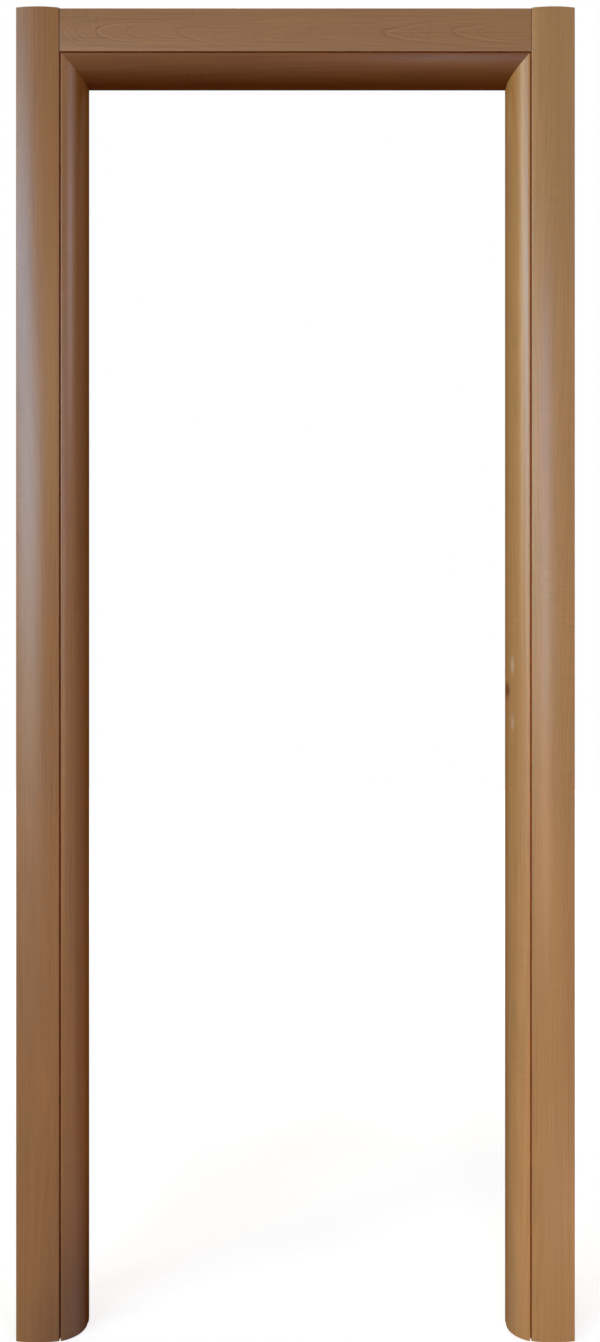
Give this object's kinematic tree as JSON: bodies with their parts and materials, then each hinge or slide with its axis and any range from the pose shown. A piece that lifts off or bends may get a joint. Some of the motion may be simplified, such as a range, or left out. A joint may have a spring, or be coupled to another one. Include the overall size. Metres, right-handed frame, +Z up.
{
  "type": "door frame",
  "caption": "Interior door frame with a rounded, mitred wood lining rebated for a leaf, domed side casings, a flat head casing, seals, keep plate and lift-off hinge pins.",
  "frame": {"origin": "on the floor, in the middle of the doorway and of the frame's whole depth", "axes": "+Z up; +X across the doorway to the right as seen in the picture; +Y back, from the side in the picture towards the leaf's side"},
  "size_m": [0.938, 0.1268, 2.214],
  "materials": {
    "veneer": "satin",
    "dowel_beech": "matte",
    "seal": "matte",
    "keep_steel": "satin",
    "hinge_steel": "satin",
    "washer_brass": "satin",
    "bracket_zinc": "satin",
    "screw_zinc": "satin"
  },
  "bodies": {
    "root": {"jamb_left": "veneer", "jamb_right": "veneer", "head_jamb": "veneer", "front_casing_left": "veneer", "front_casing_right": "veneer", "front_casing_head": "veneer", "rear_casing_left": "veneer", "rear_casing_right": "veneer", "rear_casing_head": "veneer", "seal_left": "seal", "seal_right": "seal", "seal_head": "seal", "strike_plate": "keep_steel", "strike_screws": "keep_steel", "hinge_body_lower": "hinge_steel", "hinge_body_middle": "hinge_steel", "hinge_body_upper": "hinge_steel", "hinge_washer_lower": "washer_brass", "hinge_washer_middle": "washer_brass", "hinge_washer_upper": "washer_brass", "hinge_pin_lower": "hinge_steel", "hinge_pin_middle": "hinge_steel", "hinge_pin_upper": "hinge_steel", "corner_bracket_left": "bracket_zinc", "corner_bracket_right": "bracket_zinc", "bracket_screws_left": "screw_zinc", "bracket_screws_right": "screw_zinc", "corner_dowels_left": "dowel_beech", "corner_dowels_right": "dowel_beech"}
  },
  "joints": []
}
